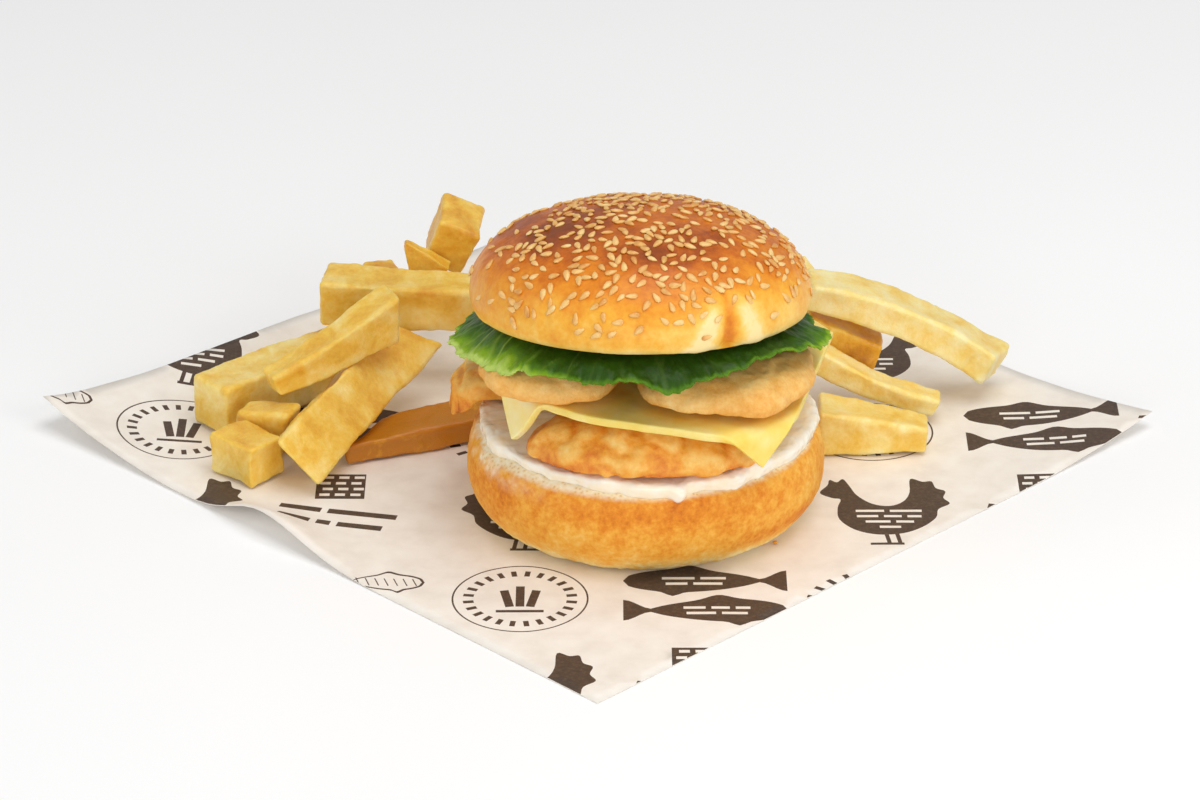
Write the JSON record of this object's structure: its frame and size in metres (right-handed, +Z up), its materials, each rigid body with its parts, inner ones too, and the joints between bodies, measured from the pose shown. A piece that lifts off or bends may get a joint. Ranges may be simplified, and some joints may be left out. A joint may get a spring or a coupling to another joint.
{
  "type": "chicken burger and chips on a paper sheet",
  "caption": "Sesame bun burger with battered chicken, cheese, lettuce and mayonnaise, beside thick-cut chips on an open printed greaseproof sheet.",
  "frame": {"origin": "middle of the square paper sheet, on its underside, where it lies on the table", "axes": "+Z up; -Y is the front, where one corner of the sheet points; +X to the right, so the sheet's diagonals lie on X and Y"},
  "size_m": [0.3224, 0.3224, 0.0924],
  "materials": {
    "greaseproof_paper": "matte, warm white with dark brown print",
    "bun_crust": "egg-glazed golden brown crust",
    "mayonnaise": "glossy white sauce",
    "battered_chicken": "rough fried batter",
    "cheese": "smooth pale yellow processed cheese",
    "lettuce_leaf": "fresh green leaf, waxy",
    "fried_potato": "soft fried potato, slightly oily"
  },
  "bodies": {
    "root": {"bun_crown": "bun_crust", "bun_heel": "bun_crust", "cheese_slice": "cheese", "chicken_lower_back": "battered_chicken", "chicken_lower_front": "battered_chicken", "chicken_upper_left": "battered_chicken", "chicken_upper_right": "battered_chicken", "chip_left_behind": "fried_potato", "chip_left_diagonal": "fried_potato", "chip_left_far_end": "fried_potato", "chip_left_front_stub": "fried_potato", "chip_left_leaning": "fried_potato", "chip_left_long_top": "fried_potato", "chip_left_sliver": "fried_potato", "chip_left_under_bun": "fried_potato", "chip_left_upright": "fried_potato", "chip_left_wedge": "fried_potato", "chip_right_curved": "fried_potato", "chip_right_front": "fried_potato", "chip_right_shaded": "fried_potato", "chip_right_tip_behind": "fried_potato", "chip_right_top": "fried_potato", "lettuce": "lettuce_leaf", "mayonnaise": "mayonnaise", "paper": "greaseproof_paper"}
  },
  "joints": []
}
